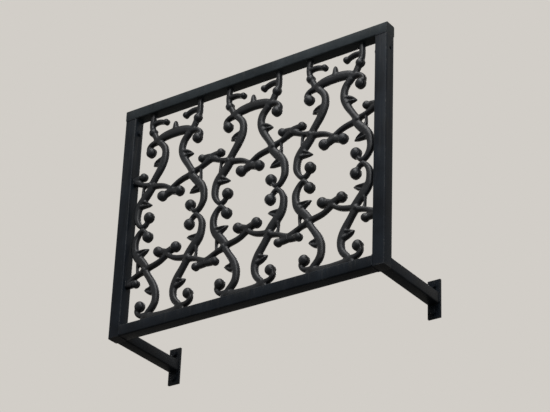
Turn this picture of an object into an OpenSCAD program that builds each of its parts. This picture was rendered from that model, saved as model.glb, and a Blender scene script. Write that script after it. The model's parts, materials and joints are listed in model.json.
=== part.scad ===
// Shallow iron window balcony: a welded square tube frame that holds three cast scroll panels side by side,
// carried over the sill by two return bars that bolt to the wall behind.
// X runs along the balcony, Y towards the wall and Z up, in millimetres.
// The origin is on the wall face of the left plate, on the axis of the left return bar.

/* [Balcony] */
// Width over the end posts
overall_width = 1060; // [960:10:1160]
// Height from the underside of the bottom rail to the top of the handrail
overall_height = 860; // [850:5:870]
// Distance from the front of the frame to the wall face of the plates
reach = 330; // [220:10:420]

/* [Frame tubes] */
// Front to back size of every frame tube
frame_depth = 45; // [40:1:50]
// Width of an end post
post_width = 45; // [40:1:50]
// Height of the handrail and of the bottom rail
rail_height = 40; // [35:1:45]
// Wall thickness of the tubes
tube_wall = 3; // [2:0.5:4]
// Outer radius of the tubes' rounded corners
corner_r = 5; // [4:0.5:8]
// Thickness of the plates that close the tube ends
cap_thickness = 3; // [2:0.5:5]

/* [Cast panels] */
// Height of the panels' mid-line above the bottom rail
midline_height = 345; // [340:1:346]
// Thickness of the stems of the castings
body_thickness = 16; // [12:1:20]

/* [Wall fixing] */
// Height of the upright wall plates
plate_height = 130; // [110:5:140]
// Thickness of the wall plates
plate_thickness = 8; // [6:1:12]
// Distance between the two bolt holes of a wall plate
plate_hole_spacing = 90; // [80:5:100]
// Radius of the bolt holes
bolt_hole_r = 5.5; // [4.5:0.5:6.5]
// Height of the side fixing holes above the bottom rail's underside
side_hole_height = 770; // [700:10:790]

/* [Hidden] */

paint = "#1b1a20";
paint_rail = "#2a2a30";

left_x = -post_width / 2;
right_x = left_x + overall_width;
front_y = -reach;
mid_y = front_y + frame_depth / 2;
bottom_z = -rail_height / 2;
top_z = bottom_z + overall_height;
rail_underside = top_z - rail_height;
rail_top = bottom_z + rail_height;
clear_width = overall_width - 2 * post_width;
panel_count = 3;
pitch = clear_width / panel_count;
half_pitch = pitch / 2;
midline_z = rail_top + midline_height;
top_trim = rail_underside - midline_z;
curve_steps = 3;
tip_steps = 6;
corner_steps = 4;
inside_r = max(corner_r - tube_wall, 1);
sleeve_r = bolt_hole_r + tube_wall;
left_bar_x = 0;
right_bar_x = right_x - post_width / 2;

// A point on the smooth curve through b and c, with a and d as the points on either side
function curve_point(a, b, c, d, t) =
    0.5 * (2 * b + (c - a) * t + (2 * a - 5 * b + 4 * c - d) * t * t + (3 * b - a - 3 * c + d) * t * t * t);

// Smooth run of [u, w, width] through the points of a stem
function smooth(p) = let (n = len(p))
    [for (i = [0:n - 2], k = [0:curve_steps - 1])
        curve_point(p[max(i - 1, 0)], p[i], p[i + 1], p[min(i + 2, n - 1)], k / curve_steps), p[n - 1]];

// Unit direction of the run at point i, and the unit normal to its left
function direction(p, i) = let (a = p[max(i - 1, 0)], b = p[min(i + 1, len(p) - 1)],
    d = [b[0] - a[0], b[1] - a[1]]) d / norm(d);
function normal(p, i) = let (d = direction(p, i)) [-d[1], d[0]];
function centre(p, i) = [p[i][0], p[i][1]];

// One edge of a stem: half its width to the left of its centre line for hand 1, to the right for hand -1
function edge(p, hand) = [for (i = [0:len(p) - 1]) centre(p, i) + normal(p, i) * p[i][2] / 2 * hand];
function reversed(list) = [for (i = [len(list) - 1:-1:0]) list[i]];

// The half circle that closes the tip of a stem
function round_tip(p) = let (i = len(p) - 1, r = p[i][2] / 2)
    [for (k = [1:tip_steps - 1]) let (a = 180 * k / tip_steps)
        centre(p, i) + r * (normal(p, i) * cos(a) + direction(p, i) * sin(a))];

// Flat outline of a stem that tapers along a smooth curve to a round tip
module stem(points) {
    run = smooth(points);
    polygon(concat(edge(run, 1), round_tip(run), reversed(edge(run, -1))));
}

// The stems of the upper right quarter of a panel, as points of [distance from the upright centre line,
// height above the mid-line, width]. Stems that cross a line of symmetry start a little past it.
side_scroll = [[88, 34, 12], [94, 17, 11], [106, 6, 15], [119, 9, 15], [132, 26, 18], [139, 44, 23],
               [138.5, 64, 23], [135, 84, 26], [121, 106, 30], [98, 131, 28], [84, 150, 26]];
scroll_leaf = [[128, 98, 40], [112, 93, 30], [96, 88, 17], [80, 83, 4]];
scroll_link = [[117, 122, 14], [122, 138, 7], [121, 152, 7], [117, 167, 10]];
eye_arm = [[92, 158, 22], [72, 152, 18], [50, 148, 17], [28, 141, 16], [12, 131, 15], [-6, 118, 18]];
eye = [[-8, 114, 20], [6, 113, 21], [20, 108, 25], [32, 104, 24]];
side_arm = [[90, 161, 20], [116, 168, 14], [136, 177, 17], [152, 188, 24], [half_pitch + 3, 192, 28]];
side_curl = [[half_pitch - 1, 196, 22], [146, 199, 20], [135, 200, 19], [127, 200, 18]];
bell_stem = [[92, 152, 24], [70, 187, 22], [49, 220, 25], [37, 250, 25], [36, 278, 23], [45, 300, 23],
             [64, 318, 20]];
bell_leaf = [[44, 238, 44], [58, 240, 32], [71, 237, 18], [83, 233, 4]];
arch = [[-6, 341, 32], [12, 341, 32], [34, 339, 31], [56, 335, 28], [78, 325, 19]];
upper_curl = [[58, 322, 20], [82, 325, 18], [104, 317, 14], [112, 300, 13], [102, 288, 14]];
shoulder_stem = [[68, 320, 18], [79, 336, 19], [86, 352, 19], [96, 369, 19], [101, 388, 17], [102, 404, 17],
                 [98, 455, 18]];
top_bar = [[103, 398, 16], [84, 403, 16], [64, 401, 15], [48, 394, 14]];
STEMS = [side_scroll, scroll_leaf, scroll_link, eye_arm, eye, side_arm, side_curl, bell_stem, bell_leaf,
         arch, upper_curl, shoulder_stem, top_bar];

// Ball ends and knots of the same quarter: [distance from the centre line, height, radius]
BALLS = [[86, 36, 18], [36, 104, 17], [123, 200, 13], [98, 288, 17], [95, 366, 14], [42, 393, 10],
         [90, 158, 11]];

// Bud that stands on the middle of the upper arch, with no match below
ARCH_BUD = [[0, 338, 30], [0, 351, 20], [0, 364, 17], [0, 379, 9]];

// Flat shape of a quarter before the panel is mirrored and cut to height
module quarter() {
    for (points = STEMS) stem(points);
}
module four_ways() {
    for (sx = [0, 1], sz = [0, 1]) mirror([sx, 0]) mirror([0, sz]) children();
}
module cut_to_height() {
    intersection() {
        children();
        translate([-half_pitch, -midline_height]) square([pitch, midline_height + top_trim]);
    }
}

// A ball end or knot: a round boss domed to the front
module ball(r) {
    wall = body_thickness - 3;
    rise = r * 0.75;
    rotate_extrude($fn = 32) polygon([[0, 0], [r, 0], [r, wall],
        for (a = [28, 54, 76]) [r * cos(a), wall + rise * sin(a)], [0, wall + rise * sin(76)]]);
}

// One cast panel, flat on its back, with its mid-line at height 0
module panel() {
    linear_extrude(body_thickness) {
        cut_to_height() four_ways() quarter();
        stem(ARCH_BUD);
    }
    for (b = BALLS, sx = [-1, 1], sz = [-1, 1])
        if (sz * b[1] > b[2] - midline_height) translate([sx * b[0], sz * b[1], 0]) ball(b[2]);
}

module casting(index) {
    color(paint)
        translate([left_x + post_width + pitch * (index + 0.5), mid_y + body_thickness / 2, midline_z])
            rotate([90, 0, 0]) panel();
}

// Outline of a rectangle with rounded corners, about its centre
function rounded_outline(size, r) = [for (q = [0:3], k = [0:corner_steps])
    let (a = 90 * (q + k / corner_steps), sx = q == 0 || q == 3 ? 1 : -1, sy = q < 2 ? 1 : -1)
    [sx * (size[0] / 2 - r) + r * cos(a), sy * (size[1] / 2 - r) + r * sin(a)]];

// Length of rectangular tube with rounded corners, open at both ends
module tube(size, length) {
    linear_extrude(length) difference() {
        polygon(rounded_outline(size, corner_r));
        polygon(rounded_outline([size[0] - 2 * tube_wall, size[1] - 2 * tube_wall], inside_r));
    }
}

// Plate that closes the end of a tube
module end_plate(size) {
    linear_extrude(cap_thickness) polygon(rounded_outline(size, corner_r));
}

// Turns a length drawn upwards so that it runs along X, or along Y to the front
module along_x() {
    rotate([90, 0, 90]) children();
}
module along_y() {
    rotate([90, 0, 0]) children();
}
rail_size = [frame_depth, rail_height];
post_size = [post_width, frame_depth];
bar_size = [rail_height, rail_height];

module handrail() {
    color(paint_rail) translate([left_x + cap_thickness, mid_y, top_z - rail_height / 2])
        along_x() tube(rail_size, overall_width - 2 * cap_thickness);
}
module handrail_cap(x) {
    color(paint_rail) translate([x, mid_y, top_z - rail_height / 2]) along_x() end_plate(rail_size);
}
module bottom_rail() {
    color(paint) translate([left_x + post_width, mid_y, 0]) along_x() tube(rail_size, clear_width);
}

// A round bar across a post at the height of the side fixing
module side_bar(x, r, length) {
    translate([x - length / 2, mid_y, bottom_z + side_hole_height])
        rotate([0, 90, 0]) cylinder(r = r, h = length, $fn = 48);
}

// End post. A sleeve runs through it for the bolt into the wall beside it, so the bolt can't crush the tube
module post(x) {
    color(paint) difference() {
        union() {
            translate([x, mid_y, bottom_z + cap_thickness])
                tube(post_size, rail_underside - bottom_z - cap_thickness);
            side_bar(x, sleeve_r, post_width - tube_wall);
        }
        side_bar(x, bolt_hole_r, post_width + 2);
    }
}
module post_foot(x) {
    color(paint) translate([x, mid_y, bottom_z]) end_plate(post_size);
}

// Bar from the back of a post to the wall plate
module return_bar(x) {
    color(paint) translate([x, -plate_thickness, 0])
        along_y() tube(bar_size, reach - frame_depth - plate_thickness);
}

// Upright plate at the end of a return bar, with one bolt hole above the bar and one below
module wall_plate(x) {
    color(paint) difference() {
        translate([x - post_width / 2, -plate_thickness, -plate_height / 2])
            cube([post_width, plate_thickness, plate_height]);
        for (way = [-1, 1]) translate([x, 1, way * plate_hole_spacing / 2])
            rotate([90, 0, 0]) cylinder(r = bolt_hole_r, h = plate_thickness + 2, $fn = 48);
    }
}

handrail();
handrail_cap(left_x);  // handrail_left_cap
handrail_cap(right_x - cap_thickness);  // handrail_right_cap
post(left_bar_x);  // left_post
post(right_bar_x);  // right_post
post_foot(left_bar_x);  // left_post_foot
post_foot(right_bar_x);  // right_post_foot
bottom_rail();
casting(0);  // left_casting
casting(1);  // middle_casting
casting(2);  // right_casting
return_bar(left_bar_x);  // left_return_bar
return_bar(right_bar_x);  // right_return_bar
wall_plate(left_bar_x);  // left_wall_plate
wall_plate(right_bar_x);  // right_wall_plate
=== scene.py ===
import json
import math

import bmesh
import bpy
import numpy as np
from mathutils import Matrix, Vector


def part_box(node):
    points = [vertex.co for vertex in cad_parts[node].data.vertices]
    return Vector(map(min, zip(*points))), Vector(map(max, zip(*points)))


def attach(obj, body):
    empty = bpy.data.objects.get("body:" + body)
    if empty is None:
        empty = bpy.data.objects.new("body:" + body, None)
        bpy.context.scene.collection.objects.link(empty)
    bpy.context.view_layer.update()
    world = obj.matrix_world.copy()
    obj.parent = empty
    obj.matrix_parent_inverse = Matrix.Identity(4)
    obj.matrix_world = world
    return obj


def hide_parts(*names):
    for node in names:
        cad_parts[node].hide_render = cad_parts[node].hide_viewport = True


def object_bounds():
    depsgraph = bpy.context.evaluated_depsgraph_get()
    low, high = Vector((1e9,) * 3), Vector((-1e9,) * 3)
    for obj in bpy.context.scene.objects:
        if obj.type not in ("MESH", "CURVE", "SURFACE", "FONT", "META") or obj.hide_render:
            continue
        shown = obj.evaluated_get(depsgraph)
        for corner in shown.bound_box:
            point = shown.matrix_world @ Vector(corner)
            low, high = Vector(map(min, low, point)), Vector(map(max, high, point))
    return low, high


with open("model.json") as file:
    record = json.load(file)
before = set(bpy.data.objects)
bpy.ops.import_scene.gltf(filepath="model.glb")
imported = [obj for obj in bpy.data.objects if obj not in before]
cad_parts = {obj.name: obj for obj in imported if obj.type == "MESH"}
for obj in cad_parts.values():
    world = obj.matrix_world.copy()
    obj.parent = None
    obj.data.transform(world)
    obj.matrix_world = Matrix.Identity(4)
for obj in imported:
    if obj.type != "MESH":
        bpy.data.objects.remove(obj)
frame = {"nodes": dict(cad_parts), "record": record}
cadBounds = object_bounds()
mm = 0.001
chance = np.random.default_rng(7)


# Stage and camera

# The eye is where the vanishing lines put it: right of the balcony, in front of it and well below it
view = {
    "eye": (3.830, -4.690, -2.636),
    "aimUp": 0.01,                # above the middle of the balcony
    "lens": 128.0,
    "roll": 2.38,
    "sight": 1000.0,              # how far the camera sees, in metres
}
stage = {
    "floorZ": -6.80,              # far below, because the camera looks up at the balcony
    "floorRadius": 180.0,
    "rimPoints": 96,
    "floorColour": "#8f8c87",
    "floorRoughness": 0.9,
    "floorFade": (15.0, 120.0),   # between these distances the floor goes over into the sky
    "floorLift": (0.68, 0.875),
    "mirroredLift": 0.3,          # the share of the lift that reflections see
    "sky": "#d2cec8",
    "skyLight": 0.45,
}
# Each lamp: direction from the balcony (x, y, z), distance and width in metres, watts
lamps = {
    "overheadLamp": ((0.10, -0.60, 1.00), 4.0, 3.2, 130.0),
    "frontLamp": ((0.45, -1.00, 0.60), 4.5, 2.6, 70.0),
    "rightLamp": ((1.00, -0.55, 0.10), 4.5, 2.0, 45.0),
    "leftLamp": ((-1.00, 0.20, 0.15), 4.5, 2.0, 32.0),
    "backLamp": ((-0.30, 1.00, 0.55), 4.5, 2.4, 70.0),
}


def hexColour(text):
    # sRGB hex to linear: below 0.04045 a straight line, above it a power of 2.4
    c = np.array([int(text[i:i + 2], 16) for i in (1, 3, 5)]) / 255
    linear = np.where(c <= 0.04045, c / 12.92, ((c + 0.055) / 1.055) ** 2.4)
    return (*[float(x) for x in linear], 1.0)


def addNode(tree, kind, settings=None, links=None):
    # A number as key means the input at that place, a word an input or else a property of that name. An
    # input is linked to a socket, or to a node, which then gives its first output
    node = tree.nodes.new("ShaderNode" + kind)
    for key, value in (settings or {}).items():
        if isinstance(key, int) or key in node.inputs:
            node.inputs[key].default_value = value
        else:
            setattr(node, key, value)
    for key, source in (links or {}).items():
        socket = source.outputs[0] if isinstance(source, bpy.types.Node) else source
        tree.links.new(socket, node.inputs[key])
    return node


def newMaterial(name):
    material = bpy.data.materials.new(name)
    material.use_nodes = True
    tree = material.node_tree
    tree.nodes.clear()
    shader = addNode(tree, "BsdfPrincipled")
    addNode(tree, "OutputMaterial", links={"Surface": shader})
    return material, tree, shader


def turnAngles(count):
    # One full turn in equal steps
    return np.arange(count) * 2 * np.pi / count


def makeFloor():
    # A disc: the rim's points are the cosine and the sine of the angle times the radius
    count = stage["rimPoints"]
    angle = turnAngles(count)
    rim = np.stack([np.cos(angle), np.sin(angle), np.zeros(count)], -1) * stage["floorRadius"]
    mesh = bpy.data.meshes.new("floor")
    mesh.from_pydata((rim + [0, 0, stage["floorZ"]]).tolist(), [], [list(range(count))])
    floor = bpy.data.objects.new("floor", mesh)
    bpy.context.scene.collection.objects.link(floor)

    material, tree, shader = newMaterial("paleFloor")
    shader.inputs["Base Color"].default_value = hexColour(stage["floorColour"])
    shader.inputs["Roughness"].default_value = stage["floorRoughness"]
    # The camera sees the floor nearly as pale as the sky, and reflections a little greyer. Shadows stay
    place = addNode(tree, "TexCoord").outputs["Object"]
    far = addNode(tree, "VectorMath", {"operation": "LENGTH"}, {0: place}).outputs["Value"]
    near, end = stage["floorFade"]
    low, high = stage["floorLift"]
    fade = {"From Min": near, "From Max": end, "To Min": low, "To Max": high}
    rise = addNode(tree, "MapRange", fade, {"Value": far})
    path = addNode(tree, "LightPath").outputs
    weaker = {"operation": "MULTIPLY", 1: stage["mirroredLift"]}
    mirrored = addNode(tree, "Math", weaker, {0: path["Is Glossy Ray"]})
    seen = addNode(tree, "Math", {"operation": "MAXIMUM"}, {0: path["Is Camera Ray"], 1: mirrored})
    lift = addNode(tree, "Math", {"operation": "MULTIPLY"}, {0: seen, 1: rise})
    glow = addNode(tree, "Emission", {"Color": hexColour(stage["sky"])}, {"Strength": lift})
    both = addNode(tree, "AddShader", links={0: shader, 1: glow})
    tree.links.new(both.outputs[0], tree.nodes["Material Output"].inputs["Surface"])
    mesh.materials.append(material)


def makeSky():
    # The camera and reflections see the pale backdrop as written, and the balcony gets its softer light
    world = bpy.data.worlds.new("paleSky")
    bpy.context.scene.world = world
    world.use_nodes = True
    tree = world.node_tree
    tree.nodes.clear()
    sky = hexColour(stage["sky"])
    path = addNode(tree, "LightPath").outputs
    rays = {0: path["Is Camera Ray"], 1: path["Is Glossy Ray"]}
    seen = addNode(tree, "Math", {"operation": "MAXIMUM"}, rays)
    light = addNode(tree, "Background", {"Color": sky, "Strength": stage["skyLight"]})
    pale = addNode(tree, "Background", {"Color": sky, "Strength": 1.0})
    mix = addNode(tree, "MixShader", links={0: seen, 1: light, 2: pale})
    addNode(tree, "OutputWorld", links={"Surface": mix})


def makeLampsAndCamera():
    scene = bpy.context.scene
    centre = (cadBounds[0] + cadBounds[1]) / 2
    for name, (direction, distance, size, power) in lamps.items():
        lamp = bpy.data.lights.new(name, "AREA")
        lamp.shape = "DISK"
        lamp.size = size
        lamp.energy = power
        holder = bpy.data.objects.new(name, lamp)
        scene.collection.objects.link(holder)
        away = Vector(direction).normalized()
        holder.location = centre + away * distance
        holder.rotation_euler = away.to_track_quat("Z", "Y").to_euler()

    camera = bpy.data.cameras.new("viewFromBelow")
    camera.lens = view["lens"]
    camera.clip_end = view["sight"]
    holder = bpy.data.objects.new("viewFromBelow", camera)
    scene.collection.objects.link(holder)
    holder.location = view["eye"]
    back = (Vector(view["eye"]) - centre - Vector((0, 0, view["aimUp"]))).normalized()
    turn = back.to_track_quat("Z", "Y").to_matrix().to_4x4()
    holder.rotation_euler = (turn @ Matrix.Rotation(math.radians(view["roll"]), 4, "Z")).to_euler()
    scene.camera = holder


def makeStage():
    bpy.context.scene.view_settings.view_transform = "Standard"
    makeFloor()
    makeSky()
    makeLampsAndCamera()
    print("stage, lamps and camera ready")


# Finishes

def perMetre(size):
    # Scale of a pattern: how many of its cells make a metre when one is this many mm wide
    return 1 / (size * mm)


brushedCoat = {
    # Patterns, scaled from the width of one cell in mm
    "brushLine": (3.5, 165.0),    # width and length in mm, coarser than bristles leave so that it shows
    "brush": {"Scale": 1.0, "Detail": 4.0, "Roughness": 0.6},
    "peel": {"Scale": perMetre(2.4), "Detail": 2.0},
    "sag": {"Scale": perMetre(38.0), "Detail": 3.0},
    "patches": {"Scale": perMetre(110.0), "Detail": 6.0, "Roughness": 0.62},
    "grit": {"Scale": perMetre(3.8), "Detail": 4.0, "Roughness": 0.7},
    "rainRun": (14.0, 140.0),     # width and length in mm
    "runs": {"Scale": 1.0, "Detail": 5.0, "Roughness": 0.6, "Distortion": 0.5},
    # Where an effect starts and where it is full: in mm from an edge or a welded end
    "nearEdge": {"From Min": 4.5, "From Max": 0.8},
    "nearWeld": {"From Min": 22.0, "From Max": 1.0},
    # The same as a value of its pattern, and for dust as how far a face looks up
    "patchy": {"From Min": 0.46, "From Max": 0.62},
    "chips": {"From Min": 0.50, "From Max": 0.66},
    "flecks": {"From Min": 0.60, "From Max": 0.76},
    "thinning": {"From Min": -1.0, "From Max": 1.0, "To Min": -0.16, "To Max": 0.06},
    "rain": {"From Min": 0.48, "From Max": 0.74, "To Max": 0.11},
    "dust": {"From Min": 0.55, "From Max": 1.0, "To Max": 0.42},
    "roughness": {"From Min": 0.3, "From Max": 0.7, "To Min": 0.36, "To Max": 0.50},
    "dulling": 0.45,              # how much dirt and rust roughen the coat
    "gloss": 0.07,                # weathered enamel has lost much of its shine
    "ior": 1.5,
    "patchEnds": (0.35, 0.72),    # where in the patches the coat's two colours stand alone
    "dirtColour": "#5a5955",
    "rubbedColour": "#4b4a48",
    "rustColour": "#4a2c1b",
    "brushBump": {"Strength": 0.35, "Distance": 0.22 * mm},
    "peelBump": {"Strength": 0.25, "Distance": 0.12 * mm},
    "sagBump": {"Strength": 0.4, "Distance": 0.9 * mm},
    "chipBump": {"Strength": 0.6, "Distance": 0.25 * mm, "invert": True},
}
# Each finish: colour, colour of the worn patches, way the brush went
brushedFinishes = {
    # The handrail's lighter colours are a painted sheen: they stand in for the bright sky reflected on
    # its front
    "handrailEnamelPaintedSheen": ("#1d2225", "#2d3337", "x"),
    "frameEnamelAlong": ("#0f1318", "#191f26", "x"),
    "frameEnamelUpright": ("#0f1318", "#191f26", "z"),
    "frameEnamelBack": ("#0f1318", "#191f26", "y"),
}
castCoat = {
    # Patterns as above, the grain coarser than moulding sand so that it shows
    "grain": {"Scale": perMetre(1.6), "Detail": 3.0, "Roughness": 0.65},
    "lumps": {"Scale": perMetre(10.5), "Detail": 3.0},
    "patches": {"Scale": perMetre(83.0), "Detail": 6.0, "Roughness": 0.6},
    "pits": {"Scale": perMetre(3.3)},
    "freckles": {"Scale": perMetre(9.0)},
    # Where an effect starts and where it is full
    "high": {"From Min": 0.55, "From Max": 0.95},
    "handled": {"From Min": 0.42, "From Max": 0.62},
    "spot": {"From Min": 0.13, "From Max": 0.05},
    "patchy": {"From Min": 0.58, "From Max": 0.68},
    "pitted": {"From Min": 0.0, "From Max": 0.35},
    "dust": {"From Min": 0.45, "From Max": 1.0, "To Max": 0.40},
    "roughness": {"From Min": 0.3, "From Max": 0.7, "To Min": 0.30, "To Max": 0.46},
    "polish": -0.07,              # what hands take off the roughness
    "dulling": 0.5,
    "gloss": 0.25,                # thick coats keep more shine than the frame's
    "ior": 1.5,
    "patchEnds": (0.34, 0.72),
    "colours": ("#0a0c10", "#14181d"),
    "rubbedColour": "#1d2126",
    "dirtColour": "#57544d",
    "rustColour": "#3f2619",
    "grainBump": {"Strength": 0.45, "Distance": 0.22 * mm},
    "pitBump": {"Strength": 0.3, "Distance": 0.3 * mm},
    "lumpBump": {"Strength": 0.5, "Distance": 1.0 * mm},
}


def dustOn(tree, coat, pattern):
    # Dust lies where the surface faces up, thicker where the pattern is high
    facing = addNode(tree, "NewGeometry").outputs["Normal"]
    upward = addNode(tree, "SeparateXYZ", links={0: facing}).outputs["Z"]
    level = addNode(tree, "MapRange", coat["dust"], {"Value": upward})
    return addNode(tree, "Math", {"operation": "MULTIPLY"}, {0: level, 1: pattern})


def paintOver(tree, shader, coat, patches, colours, layers, bumps):
    # The patches choose between the coat's two colours. Each layer's colour then lies on the last by its
    # share, and each bump on the last
    ramp = addNode(tree, "ValToRGB", links={"Fac": patches})
    for stop, position, text in zip(ramp.color_ramp.elements, coat["patchEnds"], colours):
        stop.position = position
        stop.color = hexColour(text)
    top = ramp.outputs[0]
    for share, key in layers:
        layer = addNode(tree, "Mix", {"data_type": "RGBA", 7: hexColour(coat[key])}, {0: share, 6: top})
        top = layer.outputs[2]
    below = {}
    for height, key in bumps:
        bump = addNode(tree, "Bump", coat[key], {"Height": height, **below})
        below = {"Normal": bump}
    tree.links.new(top, shader.inputs["Base Color"])
    tree.links.new(bump.outputs[0], shader.inputs["Normal"])
    shader.inputs["IOR"].default_value = coat["ior"]
    shader.inputs["Specular IOR Level"].default_value = coat["gloss"]


def brushedEnamel(name, colour, worn, along):
    # Air-dried black enamel brushed on steel tube: nearly black with a soft wide sheen, faint brush
    # lines along the bar, orange peel, slow sags, rubbed edges, a little rust out of the welded ends,
    # rain marks, and dust on upward faces
    coat = brushedCoat
    material, tree, shader = newMaterial(name)
    place = addNode(tree, "TexCoord").outputs["Object"]
    axis = "xyz".index(along)
    width, length = coat["brushLine"]
    lineScale = [perMetre(width)] * 3
    lineScale[axis] = perMetre(length)
    lines = addNode(tree, "Mapping", {"Scale": lineScale}, {"Vector": place})
    brush = addNode(tree, "TexNoise", coat["brush"], {"Vector": lines})
    peel = addNode(tree, "TexNoise", coat["peel"], {"Vector": place})
    sag = addNode(tree, "TexNoise", coat["sag"], {"Vector": place})
    patches = addNode(tree, "TexNoise", coat["patches"], {"Vector": place})
    grit = addNode(tree, "TexNoise", coat["grit"], {"Vector": place})

    # How far a point lies from its bar's edges: the middle one of its three distances to the box's sides
    offset = addNode(tree, "Attribute", {"attribute_name": "fromMiddle"}).outputs["Vector"]
    half = addNode(tree, "Attribute", {"attribute_name": "halfSize"}).outputs["Vector"]
    away = addNode(tree, "VectorMath", {"operation": "ABSOLUTE"}, {0: offset})
    inset = addNode(tree, "VectorMath", {"operation": "SUBTRACT"}, {0: half, 1: away})
    sides = addNode(tree, "SeparateXYZ", links={0: inset}).outputs
    lesser = addNode(tree, "Math", {"operation": "MINIMUM"}, {0: sides[0], 1: sides[1]})
    greater = addNode(tree, "Math", {"operation": "MAXIMUM"}, {0: sides[0], 1: sides[1]})
    capped = addNode(tree, "Math", {"operation": "MINIMUM"}, {0: greater, 1: sides[2]})
    toEdge = addNode(tree, "Math", {"operation": "MAXIMUM"}, {0: lesser, 1: capped})
    # Edges are rubbed in patches, and there in chips
    nearEdge = addNode(tree, "MapRange", coat["nearEdge"], {"Value": toEdge})
    chips = addNode(tree, "MapRange", coat["chips"], {"Value": grit})
    patchy = addNode(tree, "MapRange", coat["patchy"], {"Value": patches})
    rubbing = addNode(tree, "Math", {"operation": "MULTIPLY"}, {0: nearEdge, 1: patchy})
    rubbed = addNode(tree, "Math", {"operation": "MULTIPLY"}, {0: rubbing, 1: chips})

    # Rust seeps out of the welded ends in flecks
    nearWeld = addNode(tree, "MapRange", coat["nearWeld"], {"Value": sides[axis]})
    flecks = addNode(tree, "MapRange", coat["flecks"], {"Value": grit})
    seeping = addNode(tree, "Math", {"operation": "MULTIPLY"}, {0: nearWeld, 1: flecks})

    # Rain draws dirt down from the upper edge in wavering runs of every width, which thin out downward
    width, length = coat["rainRun"]
    runScale = (perMetre(width), perMetre(width), perMetre(length))
    down = addNode(tree, "Mapping", {"Scale": runScale}, {"Vector": place})
    runs = addNode(tree, "TexNoise", coat["runs"], {"Vector": down})
    share = addNode(tree, "VectorMath", {"operation": "DIVIDE"}, {0: offset, 1: half})
    height = addNode(tree, "SeparateXYZ", links={0: share}).outputs["Z"]
    thinning = addNode(tree, "MapRange", coat["thinning"], {"Value": height})
    wetter = addNode(tree, "Math", {"operation": "ADD"}, {0: runs, 1: thinning})
    rain = addNode(tree, "MapRange", coat["rain"], {"Value": wetter})
    dirt = addNode(tree, "Math", {"operation": "ADD"}, {0: dustOn(tree, coat, sag), 1: rain})

    polish = addNode(tree, "MapRange", coat["roughness"], {"Value": patches})
    dull = addNode(tree, "Math", {"operation": "MAXIMUM"}, {0: dirt, 1: seeping})
    duller = addNode(tree, "Math", {"operation": "MULTIPLY", 1: coat["dulling"]}, {0: dull})
    roughness = addNode(tree, "Math", {"operation": "ADD"}, {0: polish, 1: duller})
    tree.links.new(roughness.outputs[0], shader.inputs["Roughness"])
    layers = ((dirt, "dirtColour"), (rubbed, "rubbedColour"), (seeping, "rustColour"))
    bumps = ((brush, "brushBump"), (peel, "peelBump"), (sag, "sagBump"), (rubbed, "chipBump"))
    paintOver(tree, shader, coat, patches, (colour, worn), layers, bumps)
    return material


def enamelOnCastIron():
    # Many coats of black enamel over sand-cast grey iron: the sand's grain still shows as a fine pitted
    # skin, crowns are rubbed a little lighter and smoother, and rust freckles come through in patches
    coat = castCoat
    material, tree, shader = newMaterial("enamelOnCastIron")
    place = addNode(tree, "TexCoord").outputs["Object"]
    grain = addNode(tree, "TexNoise", coat["grain"], {"Vector": place})
    lumps = addNode(tree, "TexNoise", coat["lumps"], {"Vector": place})
    patches = addNode(tree, "TexNoise", coat["patches"], {"Vector": place})
    pits = addNode(tree, "TexVoronoi", coat["pits"], {"Vector": place}).outputs["Distance"]
    freckles = addNode(tree, "TexVoronoi", coat["freckles"], {"Vector": place}).outputs["Distance"]

    # The crown attribute is 0 at the back of a stem and 1 at the highest point of a ball
    crown = addNode(tree, "Attribute", {"attribute_name": "crown"}).outputs["Fac"]
    high = addNode(tree, "MapRange", coat["high"], {"Value": crown})
    handled = addNode(tree, "MapRange", coat["handled"], {"Value": lumps})
    rubbed = addNode(tree, "Math", {"operation": "MULTIPLY"}, {0: high, 1: handled})

    spot = addNode(tree, "MapRange", coat["spot"], {"Value": freckles})
    patchy = addNode(tree, "MapRange", coat["patchy"], {"Value": patches})
    rusty = addNode(tree, "Math", {"operation": "MULTIPLY"}, {0: spot, 1: patchy})
    dusty = dustOn(tree, coat, lumps)

    skin = addNode(tree, "MapRange", coat["roughness"], {"Value": patches})
    polish = addNode(tree, "Math", {"operation": "MULTIPLY", 1: coat["polish"]}, {0: rubbed})
    polished = addNode(tree, "Math", {"operation": "ADD"}, {0: skin, 1: polish})
    dull = addNode(tree, "Math", {"operation": "MAXIMUM"}, {0: rusty, 1: dusty})
    duller = addNode(tree, "Math", {"operation": "MULTIPLY", 1: coat["dulling"]}, {0: dull})
    roughness = addNode(tree, "Math", {"operation": "ADD"}, {0: polished, 1: duller})
    tree.links.new(roughness.outputs[0], shader.inputs["Roughness"])
    pitted = addNode(tree, "MapRange", coat["pitted"], {"Value": pits})
    layers = ((rubbed, "rubbedColour"), (dusty, "dirtColour"), (rusty, "rustColour"))
    bumps = ((grain, "grainBump"), (pitted, "pitBump"), (lumps, "lumpBump"))
    paintOver(tree, shader, coat, patches, coat["colours"], layers, bumps)
    return material


finishes = {name: brushedEnamel(name, *coats) for name, coats in brushedFinishes.items()}
finishes["castEnamel"] = enamelOnCastIron()
print("finishes mixed:", ", ".join(finishes))


# Mesh tools

def addPiece(name, mesh, finish, replaced=None):
    mesh.materials.clear()
    mesh.materials.append(finishes[finish])
    mesh.polygons.foreach_set("use_smooth", np.ones(len(mesh.polygons), bool))
    piece = bpy.data.objects.new(name, mesh)
    bpy.context.scene.collection.objects.link(piece)
    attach(piece, "root")
    if replaced:
        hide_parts(replaced)
    return piece


def writeMesh(name, points, faces):
    mesh = bpy.data.meshes.new(name)
    mesh.from_pydata(points.tolist(), [], faces)
    return mesh


def places(mesh):
    flat = np.empty(len(mesh.vertices) * 3)
    mesh.vertices.foreach_get("co", flat)
    return flat.reshape(-1, 3)


def boxInMm(node):
    low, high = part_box(node)
    return np.array(low) / mm, np.array(high) / mm


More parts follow.
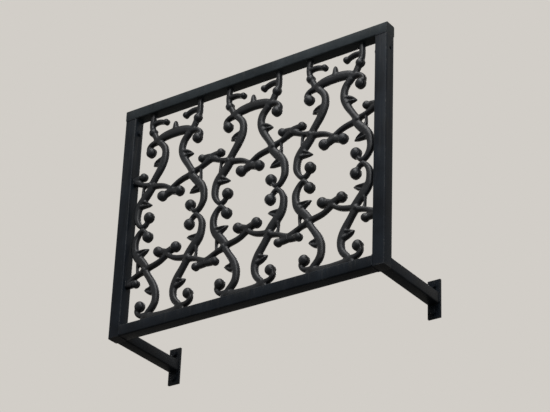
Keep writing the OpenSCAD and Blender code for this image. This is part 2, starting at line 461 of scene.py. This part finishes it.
def gridSkin(rows):
    # A closed skin over a grid of points, rows along the path, columns round it and a fan at each end
    count, around = rows.shape[:2]
    i, j = np.meshgrid(np.arange(count - 1), np.arange(around), indexing="ij")
    nextJ = (j + 1) % around
    corners = [i * around + j, i * around + nextJ, (i + 1) * around + nextJ, (i + 1) * around + j]
    quads = np.stack(corners, -1).reshape(-1, 4)
    points = np.vstack([rows.reshape(-1, 3), rows[0].mean(0), rows[-1].mean(0)])
    ring = np.arange(around)
    turned = (ring + 1) % around
    tail = (count - 1) * around
    start = np.stack([np.full(around, count * around), turned, ring], -1)
    end = np.stack([np.full(around, count * around + 1), tail + ring, tail + turned], -1)
    return points, [*quads.tolist(), *start.tolist(), *end.tolist()]


def joinSkins(skins):
    points, faces, offset = [], [], 0
    for skinPoints, skinFaces in skins:
        points.append(skinPoints)
        faces += [[k + offset for k in face] for face in skinFaces]
        offset += len(skinPoints)
    return np.vstack(points), faces


def squareTo(along):
    # Two directions square to a line and to each other
    helper = np.array([0, 0, 1.0]) if abs(along[2]) < 0.9 else np.array([1.0, 0, 0])
    right = np.cross(along, helper)
    right /= np.linalg.norm(right)
    return right, np.cross(along, right)


def unitCircle(right, upward, count):
    # The cosine and the sine of the angle along two directions
    angle = turnAngles(count)[:, None]
    return np.cos(angle) * right + np.sin(angle) * upward


# Cast scroll panels

castPanel = {
    "midLine": 345,         # height of the panel's line of symmetry above the bottom rail
    "halfThick": 8.0,       # from the middle of a stem's thickness to its back and to its shoulders
    "crown": 0.16,          # how far a stem's middle stands above its shoulders, as a share of its width
    "crownMost": 3.6,
    "sideRound": 0.5,       # powers that square off a stem's section: sides and front, then back
    "backRound": 0.4,
    "thinBelow": 6.5,       # half the width under which a stem is thinner through as well
    "thinnest": 0.62,
    "noseAngles": (35, 60, 78),
    "lobeRound": 0.8,
    "veinDepth": 3.4,       # the groove along a leaf
    "veinWidth": 2.6,
    "ribPitch": 9.0,        # the ribs that slant off it
    "ribSlant": 9.0,        # how far out a rib has fallen back by one pitch
    "ribDepth": 1.1,
    "domeRise": 0.75,       # a ball's dome over its radius
    "domeFoot": 3.0,        # how far below the shoulders the dome starts
    "domeAngles": (12, 26, 40, 54, 68, 82),
    "ballBevel": 1.2,
    "ballHub": 0.5,         # a ring inside its flat back, as a share of its radius
    "ballAround": 28,
    "swell": 0.7,           # what smoothing takes off a stem's edge again
    "backSwell": 0.4,       # the same at its back
    "shoulderDrop": 0.3,
    "voxel": 2.1,           # grain of the fused mesh
    "softening": (0.5, 3),  # factor and number of turns
    "sampleStep": 3.0,      # distance between rings along a stem
    "easing": 12,           # how often a stem's curve is evened out
    "around": 24,           # points round a stem
    "warp": 0.35,           # how far each casting strays from its pattern
    "warpWaves": (55, 80, 120, 190),
}
castNodes = ("left_casting", "middle_casting", "right_casting")
halfPitch = (boxInMm("middle_casting")[1][0] - boxInMm("middle_casting")[0][0]) / 2

# The upper right quarter of a panel, as points of (distance from the upright centre line, height, width)
stems = {
    "sideScroll": [(88, 34, 12), (94, 17, 11), (106, 6, 15), (119, 9, 15), (132, 26, 18), (139, 44, 23),
                   (138.5, 64, 23), (135, 84, 26), (121, 106, 30), (98, 131, 28), (84, 150, 26)],
    "scrollLeaf": [(128, 98, 40), (112, 93, 30), (96, 88, 17), (80, 83, 4)],
    "scrollLink": [(117, 122, 14), (122, 138, 7), (121, 152, 7), (117, 167, 10)],
    "eyeArm": [(92, 158, 22), (72, 152, 18), (50, 148, 17), (28, 141, 16), (12, 131, 15), (-6, 118, 18)],
    "eye": [(-8, 114, 20), (6, 113, 21), (20, 108, 25), (32, 104, 24)],
    "sideArm": [(90, 161, 20), (116, 168, 14), (136, 177, 17), (152, 188, 24), (halfPitch + 3, 192, 28)],
    "sideCurl": [(halfPitch - 1, 196, 22), (146, 199, 20), (135, 200, 19), (127, 200, 18)],
    "bellStem": [(92, 152, 24), (70, 187, 22), (49, 220, 25), (37, 250, 25), (36, 278, 23),
                 (45, 300, 23), (64, 318, 20)],
    "bellLeaf": [(44, 238, 44), (58, 240, 32), (71, 237, 18), (83, 233, 4)],
    "arch": [(-6, 341, 32), (12, 341, 32), (34, 339, 31), (56, 335, 28), (78, 325, 19)],
    "upperCurl": [(58, 322, 20), (82, 325, 18), (104, 317, 14), (112, 300, 13), (102, 288, 14)],
    "shoulderStem": [(68, 320, 18), (79, 336, 19), (86, 352, 19), (96, 369, 19), (101, 388, 17),
                     (102, 404, 17), (98, 455, 18)],
    "topBar": [(103, 398, 16), (84, 403, 16), (64, 401, 15), (48, 394, 14)],
}
leaves = ("scrollLeaf", "bellLeaf")
# The bud that stands on the middle of the upper arch, with no match below
archBud = [(0, 338, 30), (0, 351, 20), (0, 364, 17), (0, 379, 9)]
# Ball ends and knots of the same quarter: (distance from the centre line, height, radius)
balls = [(86, 36, 18), (36, 104, 17), (123, 200, 13), (98, 288, 17), (95, 366, 14), (42, 393, 10),
         (90, 158, 11)]


def smoothRun(points, step):
    # A curve through the points: each span blends its two ends and their outer neighbours with cubic
    # weights. Then every point moves towards the mean of its neighbours a few times, which takes out
    # the last corners
    p = np.array(points, float)
    outer = np.vstack([p[:1], p, p[-1:]])
    spans = []
    for a, b, c, d in zip(outer[:-3], outer[1:-2], outer[2:-1], outer[3:]):
        count = max(2, int(np.linalg.norm(c[:2] - b[:2]) / step))
        t = (np.arange(count) / count)[:, None]
        spans.append(0.5 * (2 * b + (c - a) * t + (2 * a - 5 * b + 4 * c - d) * t ** 2
                            + (3 * b - a - 3 * c + d) * t ** 3))
    run = np.vstack([*spans, p[-1:]])
    for turn in range(castPanel["easing"]):
        run[1:-1] = (run[:-2] + 2 * run[1:-1] + run[2:]) / 4
    return run


def leafRelief(run, across, half, proud):
    # Two lobes, each the sine of the across share to a small power, with ribs that are the cosine of the
    # length less the distance out, and along the middle a groove that fades with the distance squared
    steps = np.linalg.norm(np.diff(run[:, :2], axis=0), axis=1)
    length = np.concatenate([[0], np.cumsum(steps)])[:, None]
    out = np.abs(across)
    slant = out * half[:, None] / castPanel["ribSlant"]
    ribs = np.cos(2 * np.pi * (length / castPanel["ribPitch"] - slant))
    lobes = np.sin(np.pi * np.clip(out, 0, 1)) ** castPanel["lobeRound"]
    relief = proud * lobes + castPanel["ribDepth"] * ribs * lobes
    vein = np.exp(-(across * half[:, None] / castPanel["veinWidth"]) ** 2)
    return relief - castPanel["veinDepth"] * vein


def stemSkin(points, isLeaf):
    # A rounded box carried along the curve. Across it: the cosine of the angle to a small power, times
    # half the width. Through it: the sine likewise, flat behind and crowned in front by one minus the
    # square of the across share
    run = smoothRun(points, castPanel["sampleStep"])
    travel = np.gradient(run[:, :2], axis=0)
    travel /= np.linalg.norm(travel, axis=1)[:, None]
    normal = np.stack([-travel[:, 1], travel[:, 0]], -1)
    half = run[:, 2] / 2 + castPanel["swell"]
    angle = turnAngles(castPanel["around"])
    across = np.sign(np.cos(angle)) * np.abs(np.cos(angle)) ** castPanel["sideRound"]
    s = np.abs(np.sin(angle))
    proud = np.minimum(castPanel["crown"] * run[:, 2], castPanel["crownMost"])[:, None]
    relief = leafRelief(run, across, half, proud) if isLeaf else proud * (1 - across ** 2)
    slim = np.clip(half / castPanel["thinBelow"], castPanel["thinnest"], 1.0)[:, None]
    front = (castPanel["halfThick"] - castPanel["shoulderDrop"] + relief) * s ** castPanel["sideRound"]
    back = -(castPanel["halfThick"] + castPanel["backSwell"]) * s ** castPanel["backRound"]
    rows = np.empty((len(run), len(angle), 3))
    rows[:, :, :2] = run[:, None, :2] + normal[:, None, :] * (across * half[:, None])[:, :, None]
    rows[:, :, 2] = np.where(np.sin(angle) > 0, front, back) * slim
    # The free end is closed by a rounded nose: rings that move on by the sine and shrink by the cosine
    bend = np.radians(castPanel["noseAngles"])[:, None, None]
    middle = np.array([run[-1, 0], run[-1, 1], 0])
    ahead = np.array([travel[-1, 0], travel[-1, 1], 0]) * half[-1]
    nose = middle + (rows[-1] - middle) * np.cos(bend) + ahead * np.sin(bend)
    return gridSkin(np.concatenate([rows, nose]))


def ballSkin(u, w, r):
    # Turned on a lathe: a flat back, an upright side, then a dome whose height is the sine of the angle
    r = r + castPanel["swell"]
    bevel = castPanel["ballBevel"]
    angle = np.radians(castPanel["domeAngles"])
    reach = np.concatenate([[r * castPanel["ballHub"], r - bevel, r, r], r * np.cos(angle)])
    back = -castPanel["halfThick"] - castPanel["backSwell"]
    side = castPanel["halfThick"] - castPanel["domeFoot"]
    dome = side + castPanel["domeRise"] * r * np.sin(angle)
    height = np.concatenate([[back, back, back + bevel, side], dome])
    turn = turnAngles(castPanel["ballAround"])
    rows = np.empty((len(reach), len(turn), 3))
    rows[:, :, 0] = u + reach[:, None] * np.cos(turn)
    rows[:, :, 1] = w + reach[:, None] * np.sin(turn)
    rows[:, :, 2] = height[:, None]
    return gridSkin(rows)


def quarterSkins(limit):
    # What lies below the limit height, cut flat there
    skins = [stemSkin(points, name in leaves) for name, points in stems.items() if points[0][1] < limit]
    skins += [ballSkin(u, w, r) for u, w, r in balls if w + r < limit]
    points, faces = joinSkins(skins)
    points[:, 1] = np.minimum(points[:, 1], limit + castPanel["swell"])
    points[:, 0] = np.minimum(points[:, 0], halfPitch + castPanel["swell"])
    return points, faces


def fusedPanel():
    # The quarter four times over, fused by a voxel mesh, so that the stems grow out of each other as in
    # a casting
    low, high = boxInMm("middle_casting")
    skins = []
    for upDown, limit in ((1, high[2] - low[2] - castPanel["midLine"]), (-1, castPanel["midLine"])):
        points, faces = quarterSkins(limit)
        reversedFaces = [face[::-1] for face in faces]
        for side in (1, -1):
            # a skin mirrored once is turned back the right way out
            outward = reversedFaces if side * upDown < 0 else faces
            skins.append((points * np.array([side, upDown, 1]), outward))
    skins.append(stemSkin(archBud, False))
    points, faces = joinSkins(skins)
    middle = high[1] - castPanel["halfThick"]
    height = points[:, 1] + low[2] + castPanel["midLine"]
    placed = np.stack([points[:, 0], middle - points[:, 2], height], -1)
    raw = bpy.data.objects.new("rawPanel", writeMesh("rawPanel", placed * mm, faces))
    bpy.context.scene.collection.objects.link(raw)
    fuse = raw.modifiers.new("fuse", "REMESH")
    fuse.mode = "VOXEL"
    fuse.voxel_size = castPanel["voxel"] * mm
    soften = raw.modifiers.new("soften", "SMOOTH")
    soften.factor, soften.iterations = castPanel["softening"]
    graph = bpy.context.evaluated_depsgraph_get()
    fused = bpy.data.meshes.new_from_object(raw.evaluated_get(graph))
    bpy.data.objects.remove(raw)
    return fused


def strayed(points):
    # A sum of a few slow waves in every direction, different for each casting
    shift = np.zeros_like(points)
    for wavelength in castPanel["warpWaves"]:
        heading = chance.normal(size=(3, 3))
        heading *= 2 * np.pi / wavelength / np.linalg.norm(heading, axis=1)[:, None]
        shift += np.sin(points @ heading.T + chance.uniform(0, 2 * np.pi, 3)) * castPanel["warp"] / 2
    return points + shift


def makeCastings():
    fused = fusedPanel()
    pattern = places(fused) / mm
    back = boxInMm("middle_casting")[1][1]
    highest = pattern[:, 1].min()
    for node in castNodes:
        low, high = boxInMm(node)
        mesh = fused.copy()
        mesh.name = node.replace("_casting", "ScrollPanel")
        moved = strayed(pattern) + np.array([(low[0] + high[0]) / 2, 0, 0])
        mesh.vertices.foreach_set("co", (moved * mm).ravel())
        crown = mesh.attributes.new("crown", "FLOAT", "POINT")
        crown.data.foreach_set("value", (back - pattern[:, 1]) / (back - highest))
        mesh.update()
        addPiece(mesh.name, mesh, "castEnamel", node)
        print("panel", node, "cast,", len(mesh.polygons), "faces")
    bpy.data.meshes.remove(fused)


# Tube frame: each CAD tube or plate copied, merged and given softly rounded edges

# Node: finish, record slot, rounding of its cut edges in mm
tubes = {
    "handrail": ("handrailEnamelPaintedSheen", "handrail_paint", 0.6),
    "handrail_left_cap": ("handrailEnamelPaintedSheen", "handrail_paint", 0.5),
    "handrail_right_cap": ("handrailEnamelPaintedSheen", "handrail_paint", 0.5),
    "left_post": ("frameEnamelUpright", "frame_paint", 0.6),
    "right_post": ("frameEnamelUpright", "frame_paint", 0.6),
    "left_post_foot": ("frameEnamelUpright", "frame_paint", 0.5),
    "right_post_foot": ("frameEnamelUpright", "frame_paint", 0.5),
    "bottom_rail": ("frameEnamelAlong", "frame_paint", 0.6),
    "left_return_bar": ("frameEnamelBack", "frame_paint", 0.6),
    "right_return_bar": ("frameEnamelBack", "frame_paint", 0.6),
    "left_wall_plate": ("frameEnamelUpright", "frame_paint", 1.0),
    "right_wall_plate": ("frameEnamelUpright", "frame_paint", 1.0),
}
# Lengths in mm, angles in degrees
tubeEdge = {
    "mergeWithin": 0.01,
    "flatBelow": 2,
    "cutAbove": 40,         # sharper edges than this get the rounding
    "steps": 3,
    "profile": 0.6,
    "softBelow": 35,
}


def markMiddle(mesh, low, high):
    # Each point's offset from the middle of the box low to high, and half the box's size, in mm
    offset = mesh.attributes.new("fromMiddle", "FLOAT_VECTOR", "POINT")
    offset.data.foreach_set("vector", (places(mesh) / mm - (low + high) / 2).ravel())
    half = mesh.attributes.new("halfSize", "FLOAT_VECTOR", "POINT")
    half.data.foreach_set("vector", np.tile((high - low) / 2, len(mesh.vertices)))


def makeFrame():
    for node, (finish, slot, radius) in tubes.items():
        work = bmesh.new()
        work.from_mesh(frame["nodes"][node].data)
        bmesh.ops.remove_doubles(work, verts=work.verts, dist=tubeEdge["mergeWithin"] * mm)
        flat = math.radians(tubeEdge["flatBelow"])
        bmesh.ops.dissolve_limit(work, angle_limit=flat, verts=work.verts, edges=work.edges)
        cut = math.radians(tubeEdge["cutAbove"])
        sharp = [e for e in work.edges if len(e.link_faces) == 2 and e.calc_face_angle() > cut]
        bmesh.ops.bevel(work, geom=sharp, offset=radius * mm, segments=tubeEdge["steps"],
                        profile=tubeEdge["profile"], affect="EDGES", clamp_overlap=True)
        mesh = bpy.data.meshes.new(node + "_painted")
        work.to_mesh(mesh)
        work.free()
        markMiddle(mesh, *boxInMm(node))
        addPiece(node + "_painted", mesh, finish, node)
        mesh.set_sharp_from_angle(angle=math.radians(tubeEdge["softBelow"]))
    print("tube frame dressed")


# Weld beads

weld = {
    "radius": 3.6,
    "grooveRadius": 3.0,    # in the grooves that the tubes' round corners leave
    "barShare": 0.8,        # of the radius, round the return bars
    "tackRadius": 3.0,
    "tackLength": 22,
    "stemTackShare": 0.8,   # of that length, at the ends of the stems
    "topTack": 99.5,        # distances of the tacks from a panel's centre line, at the handrail
    "footTacks": (82.5, 30),
    "armTacks": 192,        # and from its line of symmetry, at the side arms
    "sunk": 1.8,
    "clear": 3,             # between a bead's end and the corner
    "barClear": 4,
    "around": 10,
    "ripple": 3.2,
    "ringsPerRipple": 5,
    "fewestRings": 8,
    "rippleHeight": 0.10,   # shares of the radius
    "unevenness": 0.03,
    "endTaper": 0.35,
    "taperRound": 0.5,
    "wander": 0.35,         # mm to either side of the line
    "wanderOver": 9.0,
    "wanderStart": 6,       # most by which its wave is shifted
    "boxMargin": 20,        # so much wider than the piece is the box that its edge wear is measured from
}


def beadSkin(start, end, radius):
    # A round bead along a line: its radius rises and falls once per ripple and tapers at both ends
    start, end = np.array(start, float), np.array(end, float)
    length = np.linalg.norm(end - start)
    count = max(weld["fewestRings"], int(length / weld["ripple"] * weld["ringsPerRipple"]))
    t = np.linspace(0, 1, count)
    right, upward = squareTo((end - start) / length)
    ring = unitCircle(right, upward, weld["around"])
    wave = np.abs(np.sin(np.pi * t * length / weld["ripple"]))
    ripple = 1 + weld["rippleHeight"] * wave + weld["unevenness"] * chance.normal(size=count)
    fromEnd = np.minimum(t, 1 - t) * length / radius
    taper = np.clip(fromEnd + weld["endTaper"], weld["endTaper"], 1) ** weld["taperRound"]
    shift = chance.uniform(0, weld["wanderStart"])
    wander = weld["wander"] * np.sin(t * length / weld["wanderOver"] + shift)
    middle = start + t[:, None] * (end - start) + wander[:, None] * upward
    return gridSkin(middle[:, None, :] + (radius * ripple * taper)[:, None, None] * ring)


def frameBeads():
    sunk, clear, barClear = weld["sunk"], weld["clear"], weld["barClear"]
    corner, groove = weld["radius"], weld["grooveRadius"]
    railBottom, railTop = boxInMm("bottom_rail")[0][2], boxInMm("bottom_rail")[1][2]
    beads = []
    for side in ("left", "right"):
        low, high = boxInMm(side + "_post")
        inner = high[0] if side == "left" else low[0]
        # under the handrail, over the bottom rail and under it, in the inner corners of the frame
        for z in (high[2], railTop, railBottom + sunk):
            beads.append(beadSkin((inner, low[1] + clear, z), (inner, high[1] - clear, z), corner))
        # the grooves at the front and the back of both joints
        for y in (low[1] + sunk, high[1] - sunk):
            beads.append(beadSkin((low[0] + clear, y, high[2]), (high[0] - clear, y, high[2]), groove))
            beads.append(beadSkin((inner, y, railBottom + clear), (inner, y, railTop - clear), groove))
        # round the return bar at the post, where the underside is flush, and at the wall plate
        (x0, atPost, z0), (x1, atPlate, z1) = boxInMm(side + "_return_bar")
        top = ((x0 + barClear, z1), (x1 - barClear, z1))
        sides = [((x, z0 + barClear), (x, z1 - barClear)) for x in (x0, x1)]
        under = ((x0 + barClear, z0), (x1 - barClear, z0))
        for y, seams in ((atPost, (top, *sides)), (atPlate, (top, *sides, under))):
            for (xa, za), (xb, zb) in seams:
                beads.append(beadSkin((xa, y, za), (xb, y, zb), corner * weld["barShare"]))
    return beads


def castingTacks():
    reach = weld["tackLength"] / 2
    stemReach = reach * weld["stemTackShare"]
    radius = weld["tackRadius"]
    tacks = []
    for node in castNodes:
        low, high = boxInMm(node)
        middle = (low[0] + high[0]) / 2
        # the shoulder stems to the handrail, and the side scrolls and the arch to the bottom rail
        ends = [(weld["topTack"], high[2]), *((u, low[2]) for u in weld["footTacks"])]
        for y in (high[1] - 2 * castPanel["halfThick"], high[1]):
            for side in (-1, 1):
                for u, z in ends:
                    x = middle + side * u
                    tacks.append(beadSkin((x - stemReach, y, z), (x + stemReach, y, z), radius))
    # the side arms to the posts and to each other
    seams = sorted({round(float(boxInMm(node)[k][0]), 1) for node in castNodes for k in (0, 1)})
    low, high = boxInMm(castNodes[0])
    for x in seams:
        for w in (-weld["armTacks"], weld["armTacks"]):
            z = low[2] + castPanel["midLine"] + w
            for y in (high[1] - 2 * castPanel["halfThick"], high[1]):
                tacks.append(beadSkin((x, y, z - reach), (x, y, z + reach), radius))
    return tacks


def addFramePiece(name, skins):
    points, faces = joinSkins(skins)
    mesh = writeMesh(name, points * mm, faces)
    markMiddle(mesh, points.min(0) - weld["boxMargin"], points.max(0) + weld["boxMargin"])
    addPiece(name, mesh, "frameEnamelUpright")
    return mesh


def makeWelds():
    beads = frameBeads()
    addFramePiece("frameWelds", beads)
    tacks = castingTacks()
    points, faces = joinSkins(tacks)
    mesh = writeMesh("castingWelds", points * mm, faces)
    addPiece("castingWelds", mesh, "castEnamel")
    print("welds laid:", len(beads), "beads and", len(tacks), "tacks")


# Bolts

bolt = {
    "acrossFlats": 17.0,
    "headHeight": 6.4,
    "chamfer": 1.2,
    "headEdge": 0.3,
    "overlap": 0.3,         # how far the head reaches into the washer
    "washerRadius": 10.5,
    "washerHeight": 2.0,
    "washerEdge": 0.4,
    "around": 36,
    "softBelow": 30,
}


def boltSkins(centre, axis):
    # Washer: a lathed ring. Head: a hexagon whose corners are cut back by a cone near the top
    axis = np.array(axis, float)
    count = bolt["around"]
    ring = unitCircle(*squareTo(axis), count)
    flat = bolt["acrossFlats"] / 2
    hexagon = flat / np.cos((turnAngles(count) + np.pi / 6) % (np.pi / 3) - np.pi / 6)
    circle = np.ones(count)
    wide, edge = bolt["washerRadius"], bolt["washerEdge"]
    disc = bolt["washerHeight"]
    top = disc + bolt["headHeight"]
    washer = [(0, wide * circle), (disc - edge, wide * circle), (disc, (wide - edge) * circle)]
    head = [(disc - bolt["overlap"], hexagon), (top - bolt["chamfer"], hexagon),
            (top, np.minimum(hexagon, flat) - bolt["headEdge"])]
    return [gridSkin(np.array([centre + axis * h + ring * reach[:, None] for h, reach in levels]))
            for levels in (washer, head)]


def makeBolts():
    skins = []
    mounts = {m["name"]: m for m in frame["record"]["mounts"]}
    for side, way in (("left", 1), ("right", -1)):
        plateFront = boxInMm(side + "_wall_plate")[0][1]
        pattern = mounts[side + "_wall_bolts"]
        for half in (-0.5, 0.5):
            height = half * pattern["dims"]["spacing_y_mm"]
            skins += boltSkins(np.array([pattern["pos_m"][0] / mm, plateFront, height]), (0, -1, 0))
        low, high = boxInMm(side + "_post")
        hole = np.array(mounts[side + "_side_bolt"]["pos_m"]) / mm
        inner = high[0] if way > 0 else low[0]
        skins += boltSkins(np.array([inner, hole[1], hole[2]]), (way, 0, 0))
    mesh = addFramePiece("fixingBolts", skins)
    mesh.set_sharp_from_angle(angle=math.radians(bolt["softBelow"]))
    print("bolts set")


makeStage()
makeFrame()
makeCastings()
makeWelds()
makeBolts()
